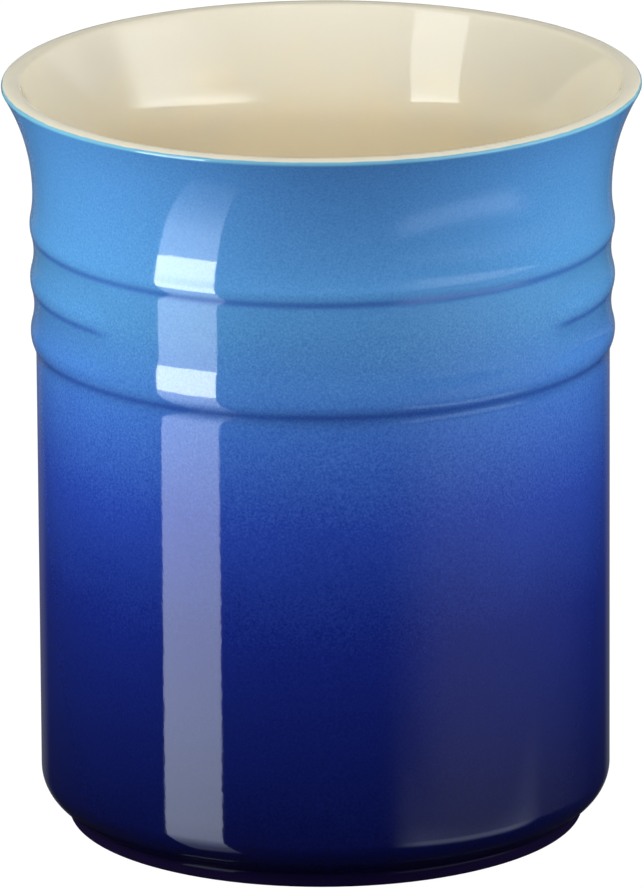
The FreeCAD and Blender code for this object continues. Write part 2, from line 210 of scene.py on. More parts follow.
class CrockShape(PropertyGroup):
    """Sizes of the jar's profile."""

    height: length("Height", "Standing ring to the top of the lip", CAD_BOX[1].z)
    rim_radius: length("Rim radius", "Outside of the lip", CAD_BOX[1].x)
    wall_radius: length("Wall radius", "Outside of the straight wall", LOWER_BOX[1].x)
    glaze_line: length("Glaze line", "Height where the two outer coats meet", LOWER_BOX[1].z)
    bare_foot: length("Bare foot", "Bare clay at the bottom of the foot ring", LOWER_BOX[0].z)
    coat: length("Glaze thickness", "Thickness of every coat", 0.4 * MM)
    wall_thickness: length("Wall thickness", "Straight wall, glaze included", 5.0 * MM)
    floor_top: length("Floor", "Height of the inside floor", 10.5 * MM)
    corner_round: length("Corner round", "Inside corner between wall and floor", 12.0 * MM)
    underside: length("Underside", "Height of the recess under the jar", 3.5 * MM)
    heel_round: length("Heel round", "Outside corner between wall and underside", 9.0 * MM)
    foot_inset: length("Foot inset", "Wall to the outside of the foot ring", 6.6 * MM)
    foot_width: length("Foot width", "Foot ring, outside to inside", 9.0 * MM)
    foot_edge_round: length("Foot edges", "Edges of the standing ring", 1.0 * MM)
    foot_root_round: length("Foot roots", "Glaze pooled where the foot ring meets the jar", 1.2 * MM)
    ring_drop: length("Ring drop", "Lip to the crest of the top ring", 34.8 * MM)
    ring_pitch: length("Ring pitch", "Crest to crest", 13.2 * MM)
    ring_proud: length("Ring height", "Crests beyond the straight wall", 1.25 * MM)
    ring_round: length("Ring round", "Convex round of a crest", 7.0 * MM)
    valley_round: length("Valley round", "Concave round between crests", 18.0 * MM)
    step_round: length("Step round", "Concave round under the lowest ring", 8.0 * MM)
    neck_rise: length("Neck rise", "Top ring to the neck, where the flare starts", 7.5 * MM)
    neck_depth: length("Neck depth", "Neck inside the ring crests", 0.75 * MM)
    lip_width: length("Lip width", "Lip, outside to inside", 4.8 * MM)
    crown_round: length("Lip crown", "Crowned top of the lip", 6.0 * MM)
    edge_round: length("Lip edge", "Outer edge of the lip", 0.8 * MM)
    brim_round: length("Lip brim", "Inner edge of the lip", 1.5 * MM)
    throat_drop: length("Throat drop", "Lip to where the inside starts to flare", 28.0 * MM)
    throat_round: length("Throat round", "Between the inside wall and the slope of its flare", 28.0 * MM)
    panel_depth: length("Panel depth", "Plain front panel inside the ring crests", 0.4 * MM)
    panel_round: length("Panel round", "Concave round between the top ring and the panel", 8.0 * MM)
    panel_slope: length("Panel slope", "Height on which the panel runs out to the lowest ring", 8.0 * MM)
    panel_edge: angle("Panel edge", "Angle from the front where the plain panel ends", 47.0)
    ring_full: angle("Ring full", "Angle from the front where the middle ring is whole", 55.0)
    steps_round: IntProperty(
        name="Steps round", description="Faces round the jar", default=STEPS_ROUND, min=24, max=720
    )


class CrockFinish(PropertyGroup):
    """Colours and surface of the glazes and the clay."""

    lip_blue: colour("Lip blue", "Outer glaze right under the lip", (0.118, 0.341, 0.683))
    azure: colour("Azure", "Outer glaze on the flare and the rings", (0.112, 0.329, 0.614))
    belt: colour("Belt blue", "Outer glaze just under the rings", (0.07, 0.197, 0.60))
    cobalt: colour("Cobalt", "Middle of the fade", (0.0312, 0.0794, 0.443))
    indigo: colour("Indigo", "Outer glaze below the middle", (0.012, 0.027, 0.242))
    navy: colour("Navy", "Outer glaze towards the heel", (0.0042, 0.0075, 0.08))
    foot_blue: colour("Foot blue", "Outer glaze on the foot", (0.014, 0.008, 0.042))
    thin_glaze: colour("Thin glaze", "Where the outer glaze breaks over the lip's edge", (0.13, 0.36, 0.56))
    cream: colour("Cream", "Inner glaze near the lip", (0.672, 0.66, 0.607))
    # Deep cream: a warmer tan that the inside turns to lower down, set by height alone
    cream_deep: colour("Deep cream", "Inner glaze lower down, where it lies thick", (0.76, 0.683, 0.508))
    clay: colour("Clay", "Bare stoneware", (0.62, 0.55, 0.46))
    clay_dark: colour("Dark clay", "Grog in the stoneware", (0.40, 0.33, 0.26))
    gloss_roughness: amount("Gloss roughness", "Roughness of the glazes", 0.045)
    mottle_size: length("Mottle size", "Grain of the sprayed glaze", 0.55 * MM)
    mottle_shift: length("Mottle shift", "How far the grain moves the fade", 14.0 * MM)
    peel_size: length("Peel size", "Waves in the glaze's surface", 7.0 * MM)
    peel_depth: length("Peel depth", "Height of those waves", 0.012 * MM)
    grain_size: length("Grain size", "Fine unevenness of the glaze's surface", 0.9 * MM)
    grain_depth: length("Grain depth", "Height of that unevenness", 0.005 * MM)
    swell_size: length("Swell size", "Slow waves in the inner glaze", 18.0 * MM)
    swell_depth: length("Swell depth", "Height of those waves", 0.25 * MM)
    mottle_shade: colour(
        "Mottle shade", "How much the grain lightens and darkens the glaze", (0.27, 0.135, 0.07)
    )
    # Painted shade in the creases under the rings, partly also glaze that lies thick there: its reach and
    # strength
    crease_width: length("Crease width", "Reach of the thick glaze under a ring", 1.4 * MM)
    crease_shade: amount("Crease shade", "How much darker the glaze is there", 0.5)
    glass_tint: colour("Glass tint", "What the outer glaze's clear layer lets through", (0.70, 0.78, 0.88))
    cream_tint: colour("Cream tint", "What the inner glaze's clear layer lets through", (0.96, 0.93, 0.86))


class CrockStage(PropertyGroup):
    """Camera, lamps and surroundings."""

    lens: amount("Lens", "Focal length in millimetres on a sensor of 36", 509.96)
    distance: length("Distance", "Camera to the point that it looks at", 3.012)
    elevation: angle("Elevation", "Camera above the horizon", 16.37)
    roll: angle("Roll", "Camera turned about its line of sight", -0.367)
    aim_across: length("Aim across", "Point looked at, sideways", -0.64 * MM)
    aim_height: length("Aim height", "Point looked at, above the ground", 91.45 * MM)
    turn: angle("Turn", "Camera and lamps turned about the jar", -2.3)
    strip_shine: amount("Strip", "Brightness of the upright strip at the left, in reflections", 16.5)
    box_shine: amount("Box", "Brightness of the flat box at the right, in reflections", 5.0)
    glow_shine: amount("Glow", "Brightness of the soft light round that box, in reflections", 1.3)
    backdrop_shine: amount("Backdrop", "Brightness of the backdrop behind the jar, in reflections", 0.35)
    room_shine: amount("Room", "Brightness of the rest of the room, in reflections", 0.045)
    left_light: amount("Left light", "Brightness of the lamp that lights the left", 9.0)
    right_light: amount("Right light", "Brightness of the lamp that lights the right", 7.8)
    top_light: amount("Top light", "Brightness of the lamp overhead", 0.2)
    fill_light: amount("Fill light", "Brightness of the lamp that lights the front", 1.6)
    back_light: amount("Back light", "Brightness of the lamps that light the back", 7.0)
    side_colour: colour("Side colour", "Colour of the lamps at the sides", (1.0, 1.0, 0.91))
    back_colour: colour("Back colour", "Colour of the lamps that light the back", (1.0, 0.97, 0.86))
    top_colour: colour("Top colour", "Colour of the lamp overhead", (1.0, 1.0, 1.0))
    shine_colour: colour("Shine colour", "Colour of the lamps that show in reflections", (0.88, 0.95, 0.96))
    fill_colour: colour("Fill colour", "Colour of the lamp that lights the front", (0.76, 0.70, 1.0))
    room_light: amount("Room light", "Light from all round", 0.07)
    floor_colour: colour("Floor", "Colour of the floor", (0.86, 0.86, 0.86))
    floor_white: amount("Floor white", "Share of plain white that the camera sees in the floor", 0.95)


# Half section of the jar, as points with the way that their free side faces

Round = namedtuple("Round", "x z radius turn")
Spot = namedtuple("Spot", "place facing")


def outer_rounds(shape):
    """The rounds of the outside, from the foot to the crown of the lip, as {name: Round}."""
    ring = shape.wall_radius + shape.ring_proud
    neck = ring - shape.neck_depth
    low_ring, middle_ring, top_ring = ring_heights(shape)
    heel_x = shape.wall_radius - shape.heel_round
    heel_z = shape.underside + shape.heel_round
    foot = shape.wall_radius - shape.foot_inset
    root = shape.foot_root_round
    root_fall = math.sqrt((shape.heel_round + root) ** 2 - (foot + root - heel_x) ** 2)
    step_span = shape.ring_round + shape.step_round
    step_fall = math.sqrt(step_span**2 - (step_span - shape.ring_proud) ** 2)
    valley_span = shape.ring_round + shape.valley_round
    valley_x = ring - shape.ring_round + math.sqrt(valley_span**2 - (shape.ring_pitch / 2) ** 2)
    neck_z = top_ring + shape.neck_rise
    neck_round = (shape.neck_depth**2 + shape.neck_rise**2) / (2 * shape.neck_depth) - shape.ring_round
    edge_x, edge_z = lip_centre(shape, shape.rim_radius - shape.edge_round, shape.edge_round)
    reach = neck - edge_x
    rise = edge_z - neck_z
    flare_round = (reach**2 + rise**2 - shape.edge_round**2) / (2 * (shape.edge_round - reach))
    crown_x = shape.rim_radius - shape.lip_width / 2
    return {
        "foot_edge": Round(foot - shape.foot_edge_round, shape.foot_edge_round, shape.foot_edge_round, 1),
        "foot_root": Round(foot + root, heel_z - root_fall, root, -1),
        "heel": Round(heel_x, heel_z, shape.heel_round, 1),
        "step": Round(shape.wall_radius + shape.step_round, low_ring - step_fall, shape.step_round, -1),
        "low_ring": Round(ring - shape.ring_round, low_ring, shape.ring_round, 1),
        "low_valley": Round(valley_x, (low_ring + middle_ring) / 2, shape.valley_round, -1),
        "middle_ring": Round(ring - shape.ring_round, middle_ring, shape.ring_round, 1),
        "high_valley": Round(valley_x, (middle_ring + top_ring) / 2, shape.valley_round, -1),
        "top_ring": Round(ring - shape.ring_round, top_ring, shape.ring_round, 1),
        "neck": Round(neck + neck_round, neck_z, neck_round, -1),
        "flare": Round(neck + flare_round, neck_z, flare_round, -1),
        "edge": Round(edge_x, edge_z, shape.edge_round, 1),
        "crown": Round(crown_x, shape.height - shape.crown_round, shape.crown_round, 1),
    }


def inner_rounds(shape):
    """The rounds of the inside, from the lip's inner edge to the corner, as {name: Round}."""
    inner = shape.wall_radius - shape.wall_thickness
    brim = shape.brim_round
    brim_x, brim_z = lip_centre(shape, shape.rim_radius - shape.lip_width + brim, brim)
    throat = shape.throat_round
    corner = shape.corner_round
    return {
        "brim": Round(brim_x, brim_z, brim, 1),
        "throat": Round(inner + throat, shape.height - shape.throat_drop, throat, 1),
        "corner": Round(inner - corner, shape.floor_top + corner, corner, -1),
    }


def base_rounds(shape):
    """The rounds of the recess under the jar, as {name: Round}."""
    inside = shape.wall_radius - shape.foot_inset - shape.foot_width
    root = shape.foot_root_round
    edge = shape.foot_edge_round
    return {
        "root": Round(inside - root, shape.underside - root, root, -1),
        "edge": Round(inside + edge, edge, edge, 1),
    }


def ring_heights(shape):
    """Heights of the three crests, from the lowest."""
    top_ring = shape.height - shape.ring_drop
    return [top_ring - 2 * shape.ring_pitch, top_ring - shape.ring_pitch, top_ring]


def lip_centre(shape, x, radius):
    """Centre of a round of the lip, at x, that touches the crown from the inside."""
    crown_x = shape.rim_radius - shape.lip_width / 2
    rise = math.sqrt((shape.crown_round - radius) ** 2 - (x - crown_x) ** 2)
    return x, shape.height - shape.crown_round + rise


def east(arc):
    """The point of a round that is furthest from the axis."""
    return Vector((arc.x + arc.radius, arc.z))


def west(arc):
    """The point of a round that is nearest to the axis."""
    return Vector((arc.x - arc.radius, arc.z))


def highest(arc):
    """The highest point of a round."""
    return Vector((arc.x, arc.z + arc.radius))


def lowest(arc):
    """The lowest point of a round."""
    return Vector((arc.x, arc.z - arc.radius))


def touch(first, second):
    """The point where two rounds touch, on the line through their centres."""
    share = first.radius / (first.radius - first.turn * second.turn * second.radius)
    return Vector((first.x, first.z)).lerp(Vector((second.x, second.z)), share)


def slope_ends(upper, lower):
    """The points where the straight slope of the inside's flare touches the rounds above and below it."""
    way = Vector((upper.x - lower.x, upper.z - lower.z))
    bearing = math.atan2(way.y, way.x) + math.acos((lower.radius - upper.radius) / way.length)
    facing = Vector((math.cos(bearing), math.sin(bearing)))
    return [Vector((arc.x, arc.z)) + facing * arc.radius for arc in (upper, lower)]


def half_chord(arc, z):
    """How far a round reaches to each side of its centre at a height."""
    return math.sqrt(arc.radius**2 - (z - arc.z) ** 2)


def straight(first, second, spacing):
    """Spots along a line, with the free side on the right."""
    way = second - first
    count = max(1, math.ceil(way.length / spacing))
    facing = Vector((way.y, -way.x)).normalized()
    return [Spot(first.lerp(second, step / count), facing) for step in range(count + 1)]


def bent(arc, first, second, spacing, fewest=6):
    """Spots along a round, with the free side on the right."""
    start = math.atan2(first.y - arc.z, first.x - arc.x)
    end = math.atan2(second.y - arc.z, second.x - arc.x)
    sweep = arc.turn * ((arc.turn * (end - start)) % math.tau)
    count = max(fewest, math.ceil(abs(sweep) * arc.radius / spacing))
    spots = []
    for step in range(count + 1):
        bearing = start + sweep * step / count
        outward = Vector((math.cos(bearing), math.sin(bearing)))
        spots.append(Spot(Vector((arc.x, arc.z)) + arc.radius * outward, arc.turn * outward))
    return spots


def joined(*stretches):
    """One run of spots out of stretches that each start where the last one ended."""
    run = list(stretches[0])
    for stretch in stretches[1:]:
        run += stretch[1:]
    return run


def lower_section(shape):
    """The lower coat's face: the foot's outside, the heel and the wall up to the glaze line."""
    out = outer_rounds(shape)
    edge = out["foot_edge"]
    start = Vector((edge.x + half_chord(edge, shape.bare_foot), shape.bare_foot))
    root_touch = touch(out["foot_root"], out["heel"])
    wall_top = Vector((shape.wall_radius, shape.glaze_line))
    return joined(
        bent(edge, start, east(edge), TINY),
        straight(east(edge), west(out["foot_root"]), FINE),
        bent(out["foot_root"], west(out["foot_root"]), root_touch, TINY),
        bent(out["heel"], root_touch, east(out["heel"]), FINE),
        straight(east(out["heel"]), wall_top, COARSE),
    )


def upper_section(shape):
    """The upper coat's face: the wall above the glaze line, the rings, the flare and the lip's edge."""
    out = outer_rounds(shape)
    wall_foot = Vector((shape.wall_radius, shape.glaze_line))
    names = ["step", "low_ring", "low_valley", "middle_ring", "high_valley", "top_ring", "neck"]
    ends = [touch(out[lower], out[upper]) for lower, upper in zip(names, names[1:])]
    starts = [west(out["step"])] + ends
    ends.append(west(out["flare"]))
    flare_top = touch(out["flare"], out["edge"])
    return joined(
        straight(wall_foot, starts[0], COARSE),
        *[bent(out[name], start, end, FINE) for name, start, end in zip(names, starts, ends)],
        bent(out["flare"], ends[-1], flare_top, MEDIUM),
        bent(out["edge"], flare_top, east(out["edge"]), TINY),
    )


def inner_section(shape):
    """The inner coat's face: the lip's top, the throat, the wall, the corner and the floor."""
    out = outer_rounds(shape)
    inner = inner_rounds(shape)
    crown_start = touch(out["edge"], out["crown"])
    crown_end = touch(out["crown"], inner["brim"])
    brim_end, throat_start = slope_ends(inner["brim"], inner["throat"])
    centre = Vector((0.0, shape.floor_top))
    return joined(
        bent(out["edge"], east(out["edge"]), crown_start, TINY),
        bent(out["crown"], crown_start, crown_end, FINE),
        bent(inner["brim"], crown_end, brim_end, TINY),
        straight(brim_end, throat_start, MEDIUM),
        bent(inner["throat"], throat_start, west(inner["throat"]), MEDIUM),
        straight(west(inner["throat"]), east(inner["corner"]), COARSE),
        bent(inner["corner"], east(inner["corner"]), lowest(inner["corner"]), MEDIUM),
        straight(lowest(inner["corner"]), centre, COARSE),
    )


def base_section(shape):
    """The base coat's face: the recess under the jar and the inside of the foot ring."""
    base = base_rounds(shape)
    edge = base["edge"]
    end = Vector((edge.x - half_chord(edge, shape.bare_foot), shape.bare_foot))
    centre = Vector((0.0, shape.underside))
    return joined(
        straight(centre, highest(base["root"]), COARSE),
        bent(base["root"], highest(base["root"]), east(base["root"]), TINY),
        straight(east(base["root"]), west(edge), FINE),
        bent(edge, west(edge), end, TINY),
    )


def panel_radius(shape, z):
    """Radius of the plain front panel at a height between the lowest and the top ring's crest."""
    low_ring, _, top_ring = ring_heights(shape)
    crest = shape.wall_radius + shape.ring_proud
    panel = crest - shape.panel_depth
    span = shape.ring_round + shape.panel_round
    fall = math.sqrt(span**2 - (span - shape.panel_depth) ** 2)
    drop = top_ring - z
    if drop < fall * shape.ring_round / span:
        return crest - shape.ring_round + math.sqrt(shape.ring_round**2 - drop**2)
    if drop < fall:
        return panel + shape.panel_round - math.sqrt(shape.panel_round**2 - (fall - drop) ** 2)
    rise = min(1.0, (z - low_ring) / shape.panel_slope)
    return crest - shape.panel_depth * rise * rise * (3.0 - 2.0 * rise)


def panel_dent(shape, place):
    """How far the front panel lies inside the ringed wall at a point of the section."""
    low_ring, _, top_ring = ring_heights(shape)
    if place.x < shape.wall_radius or not low_ring < place.y < top_ring:
        return 0.0
    return place.x - panel_radius(shape, place.y)


# Nodes that geometry, materials, sky and lamps share


def feed(tree, socket, given):
    """Links an input to another node's output, or gives it a value."""
    if isinstance(given, bpy.types.NodeSocket):
        tree.links.new(given, socket)
    else:
        socket.default_value = given


def add_math(tree, operation, *inputs):
    """A Math node with each input a socket or a number; gives its output."""
    node = tree.nodes.new("ShaderNodeMath")
    node.operation = operation
    for socket, given in zip(node.inputs, inputs):
        feed(tree, socket, given)
    return node.outputs["Value"]


def add_span(tree, value, low, high, to_low=0.0, to_high=1.0):
    """A value taken smoothly from one range to another; gives the node's output."""
    node = tree.nodes.new("ShaderNodeMapRange")
    node.interpolation_type = "SMOOTHSTEP"
    names = ("Value", "From Min", "From Max", "To Min", "To Max")
    for name, given in zip(names, (value, low, high, to_low, to_high)):
        feed(tree, node.inputs[name], given)
    return node.outputs["Result"]


def set_stops(ramp, stops):
    """Gives a Color Ramp node its stops, each a share of its length and a colour."""
    elements = ramp.color_ramp.elements
    while len(elements) < len(stops):
        elements.new(0.5)
    for element, (place, hue) in zip(elements, stops):
        element.position = place
        element.color = (*hue, 1.0)


# Turning a half section into a coat


def turning_tree():
    """Geometry Nodes that turn a half section once round the upright axis.

    The section comes in as loose points: x is the radius, z the height, and the attribute dent says how far
    the point moves inwards on the front panel.
    """
    tree = bpy.data.node_groups.new("Turned coat", "GeometryNodeTree")
    ports = tree.interface
    ports.new_socket("Section", in_out="INPUT", socket_type="NodeSocketGeometry")
    steps = ports.new_socket("Steps round", in_out="INPUT", socket_type="NodeSocketInt")
    steps.default_value = STEPS_ROUND
    for name in ("Panel edge", "Ring full"):
        port = ports.new_socket(name, in_out="INPUT", socket_type="NodeSocketFloat")
        port.subtype = "ANGLE"
    ports.new_socket("Glaze", in_out="INPUT", socket_type="NodeSocketMaterial")
    ports.new_socket("Coat", in_out="OUTPUT", socket_type="NodeSocketGeometry")
    source = tree.nodes.new("NodeGroupInput").outputs
    link = tree.links.new

    count = tree.nodes.new("GeometryNodeAttributeDomainSize")
    link(source["Section"], count.inputs["Geometry"])
    columns = add_math(tree, "ADD", source["Steps round"], 1)
    grid = tree.nodes.new("GeometryNodeMeshGrid")
    link(count.outputs["Point Count"], grid.inputs["Vertices X"])
    link(columns, grid.inputs["Vertices Y"])

    index = tree.nodes.new("GeometryNodeInputIndex").outputs["Index"]
    row = add_math(tree, "FLOOR", add_math(tree, "DIVIDE", index, columns))
    column = add_math(tree, "SUBTRACT", index, add_math(tree, "MULTIPLY", row, columns))
    share = add_math(tree, "DIVIDE", column, source["Steps round"])
    turn = add_math(tree, "MULTIPLY", add_math(tree, "SUBTRACT", share, 0.5), math.tau)

    position = tree.nodes.new("GeometryNodeInputPosition").outputs["Position"]
    spot = tree.nodes.new("GeometryNodeSampleIndex")
    spot.data_type = "FLOAT_VECTOR"
    link(source["Section"], spot.inputs["Geometry"])
    link(position, spot.inputs["Value"])
    link(row, spot.inputs["Index"])
    parts = tree.nodes.new("ShaderNodeSeparateXYZ")
    link(spot.outputs["Value"], parts.inputs["Vector"])

    dent_name = tree.nodes.new("GeometryNodeInputNamedAttribute")
    dent_name.data_type = "FLOAT"
    dent_name.inputs["Name"].default_value = "dent"
    dent = tree.nodes.new("GeometryNodeSampleIndex")
    dent.data_type = "FLOAT"
    link(source["Section"], dent.inputs["Geometry"])
    link(dent_name.outputs["Attribute"], dent.inputs["Value"])
    link(row, dent.inputs["Index"])

    aside = add_math(tree, "ABSOLUTE", turn)
    on_panel = add_span(tree, aside, source["Panel edge"], source["Ring full"], 1.0, 0.0)
    depth = add_math(tree, "MULTIPLY", dent.outputs["Value"], on_panel)
    radius = add_math(tree, "SUBTRACT", parts.outputs["X"], depth)

    place = tree.nodes.new("ShaderNodeCombineXYZ")
    link(add_math(tree, "MULTIPLY", radius, add_math(tree, "SINE", turn)), place.inputs["X"])
    backwards = add_math(tree, "MULTIPLY", radius, -1.0)
    link(add_math(tree, "MULTIPLY", backwards, add_math(tree, "COSINE", turn)), place.inputs["Y"])
    link(parts.outputs["Z"], place.inputs["Z"])

    move = tree.nodes.new("GeometryNodeSetPosition")
    link(grid.outputs["Mesh"], move.inputs["Geometry"])
    link(place.outputs["Vector"], move.inputs["Position"])
    merge = tree.nodes.new("GeometryNodeMergeByDistance")
    merge.inputs["Distance"].default_value = WELD
    link(move.outputs["Geometry"], merge.inputs["Geometry"])
    smooth = tree.nodes.new("GeometryNodeSetShadeSmooth")
    link(merge.outputs["Geometry"], smooth.inputs["Geometry"])
    realize = tree.nodes.new("GeometryNodeRealizeInstances")
    link(smooth.outputs["Geometry"], realize.inputs["Geometry"])
    glaze = tree.nodes.new("GeometryNodeSetMaterial")
    link(realize.outputs["Geometry"], glaze.inputs["Geometry"])
    link(source["Glaze"], glaze.inputs["Material"])
    sink = tree.nodes.new("NodeGroupOutput")
    link(glaze.outputs["Geometry"], sink.inputs["Coat"])
    return tree


def section_mesh(name, shape, spots):
    """Loose points once round a coat's half section: along its face, and back along the clay.

    A coat that reaches the axis starts and ends there, and has no dents. The others end where they start.
    """
    face = [spot.place for spot in spots]
    back = [spot.place - spot.facing * shape.coat for spot in reversed(spots)]
    face_dents = [panel_dent(shape, place) for place in face]
    loop = face + back
    dents = face_dents + face_dents[::-1]
    if face[-1].x < WELD:
        loop = face[::-1] + back[::-1]
    elif face[0].x > WELD:
        loop.append(face[0])
        dents.append(dents[0])
    mesh = bpy.data.meshes.new(name)
    mesh.from_pydata([(place.x, 0.0, place.y) for place in loop], [], [])
    dent = mesh.attributes.new("dent", "FLOAT", "POINT")
    dent.data.foreach_set("value", dents)
    return mesh


def turned_coat(name, spots, material, node):
    """A closed coat of glaze, turned from its half section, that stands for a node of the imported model."""
    shape = bpy.context.scene.crock_shape
    tree = bpy.data.node_groups.get("Turned coat") or turning_tree()
    coat = bpy.data.objects.new(name, section_mesh(name, shape, spots))
    bpy.context.scene.collection.objects.link(coat)
    turning = coat.modifiers.new("Turning", "NODES")
    turning.node_group = tree
    given = {
        "Steps round": shape.steps_round,
        "Panel edge": shape.panel_edge,
        "Ring full": shape.ring_full,
        "Glaze": material,
    }
    for item in tree.interface.items_tree:
        if item.name in given:
            turning[item.identifier] = given[item.name]
    depsgraph = bpy.context.evaluated_depsgraph_get()
    mesh = bpy.data.meshes.new_from_object(coat.evaluated_get(depsgraph))
    coat.modifiers.remove(turning)
    coat.data = mesh
    mesh.name = name
    face_outwards(mesh)
    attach(coat, "root")
    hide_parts(node)


def face_outwards(mesh):
    """Turns all faces outwards, and keeps the cut ends of a coat crisp."""
    work = bmesh.new()
    work.from_mesh(mesh)
    bmesh.ops.recalc_face_normals(work, faces=work.faces)
    if work.calc_volume(signed=True) < 0:
        bmesh.ops.reverse_faces(work, faces=work.faces)
    loose = [edge for edge in work.edges if len(edge.link_faces) != 2]
    work.to_mesh(mesh)
    work.free()
    if loose:
        raise RuntimeError(f"{mesh.name} isn't closed: {len(loose)} open edges")
    mesh.set_sharp_from_angle(angle=CUT_EDGE)


# Materials


class Shades:
    """The nodes of one material, on the object's own coordinates."""

    def __init__(self, name):
        self.material = bpy.data.materials.new(name)
        self.material.use_nodes = True
        self.tree = self.material.node_tree
        self.shader = self.tree.nodes["Principled BSDF"]
        self.place = self.add("ShaderNodeTexCoord").outputs["Object"]
        self.parts = self.add("ShaderNodeSeparateXYZ", Vector=self.place).outputs
        self.height = self.parts["Z"]

    def radius(self):
        """Distance from the jar's axis."""
        squares = [self.sums("MULTIPLY", self.parts[axis], self.parts[axis]) for axis in "XY"]
        return self.sums("SQRT", self.sums("ADD", *squares))

    def turn(self):
        """Angle from the front, to either side."""
        forwards = self.sums("MULTIPLY", self.parts["Y"], -1.0)
        return self.sums("ABSOLUTE", self.sums("ARCTAN2", self.parts["X"], forwards))

    def add(self, kind, settings=None, **inputs):
        """A node, with each input a socket or a value."""
        node = self.tree.nodes.new(kind)
        for name, given in (settings or {}).items():
            setattr(node, name, given)
        for name, given in inputs.items():
            feed(self.tree, node.inputs[name], given)
        return node

    def sums(self, operation, *inputs):
        """A sum in this material's tree."""
        return add_math(self.tree, operation, *inputs)

    def span(self, value, *ends):
        """A smooth step in this material's tree, between two values and, if given, two results."""
        return add_span(self.tree, value, *ends)

    def noise(self, size, detail=2.0, roughness=0.5):
        """A noise pattern between 0 and 1, whose grain has a real size."""
        node = self.add(
            "ShaderNodeTexNoise", Vector=self.place, Scale=1.0 / size, Detail=detail, Roughness=roughness
        )
        return node.outputs["Fac"]

    def ripple(self, size, reach=1.0, detail=2.0, roughness=0.5):
        """Noise about 0, as far to both sides as half the reach."""
        about_zero = self.sums("SUBTRACT", self.noise(size, detail, roughness), 0.5)
        return self.sums("MULTIPLY", about_zero, reach)

    def mix(self, share, first, second):
        """Two colours mixed."""
        node = self.tree.nodes.new("ShaderNodeMix")
        node.data_type = "RGBA"
        feed(self.tree, node.inputs["Factor"], share)
        for socket, given in zip([s for s in node.inputs if s.type == "RGBA"], (first, second)):
            feed(self.tree, socket, given if isinstance(given, bpy.types.NodeSocket) else (*given, 1.0))
        return next(s for s in node.outputs if s.type == "RGBA")

    def specks(self, spacing, share, reach):
        """A mask of small round specks: how far apart, how many of them, and how wide."""
        cells = self.add("ShaderNodeTexVoronoi", Vector=self.place, Scale=1.0 / spacing)
        pick = self.add("ShaderNodeSeparateColor", Color=cells.outputs["Color"])
        chosen = self.sums("LESS_THAN", pick.outputs["Red"], share)
        near = self.sums("LESS_THAN", cells.outputs["Distance"], reach)
        return self.sums("MULTIPLY", chosen, near)

    def bump(self, height, depth, socket, under=None):
        """Bump from a height pattern between 0 and 1, and the real depth that it stands for."""
        node = self.add("ShaderNodeBump", Strength=1.0, Distance=depth, Height=height)
        if under:
            self.tree.links.new(under, node.inputs["Normal"])
        self.tree.links.new(node.outputs["Normal"], self.shader.inputs[socket])
        return node.outputs["Normal"]

    def paint(self, base_colour):
        """Gives the surface its colour."""
        self.tree.links.new(base_colour, self.shader.inputs["Base Color"])


def gloss(shades, finish, wave_size, wave_depth, tint):
    """A glaze's clear layer over its colour: a sharp gloss over low waves and a fine grain."""
    shader = shades.shader.inputs
    shader["Roughness"].default_value = COLOUR_ROUGHNESS
    shader["Specular IOR Level"].default_value = 0.0
    shader["Coat Weight"].default_value = 1.0
    shader["Coat Roughness"].default_value = finish.gloss_roughness
    shader["Coat IOR"].default_value = GLASS_IOR
    shader["Coat Tint"].default_value = (*tint, 1.0)
    waves = shades.bump(shades.noise(wave_size, detail=1.0), wave_depth, "Coat Normal")
    grain = shades.noise(finish.grain_size, detail=1.0)
    shades.bump(grain, finish.grain_depth, "Coat Normal", under=waves)


def painted_crease_shade(shades, shape, finish):
    """A mask of painted shade in the creases under the rings, partly also glaze that lies thick there."""
    out = outer_rounds(shape)
    all_round = 1.0
    beside_panel = shades.span(shades.turn(), shape.panel_edge, shape.ring_full)
    lines = (
        ("step", "low_ring", all_round),
        ("low_valley", "middle_ring", beside_panel),
        ("high_valley", "top_ring", all_round),
    )
    mask = 0.0
    for under, ring, reach in lines:
        height = touch(out[under], out[ring]).y
        rise = shades.span(shades.height, height - finish.crease_width, height)
        fall = shades.span(shades.height, height, height + finish.crease_width, 1.0, 0.0)
        line = shades.sums("MULTIPLY", shades.sums("MULTIPLY", rise, fall), reach)
        mask = shades.sums("MAXIMUM", mask, line)
    return mask


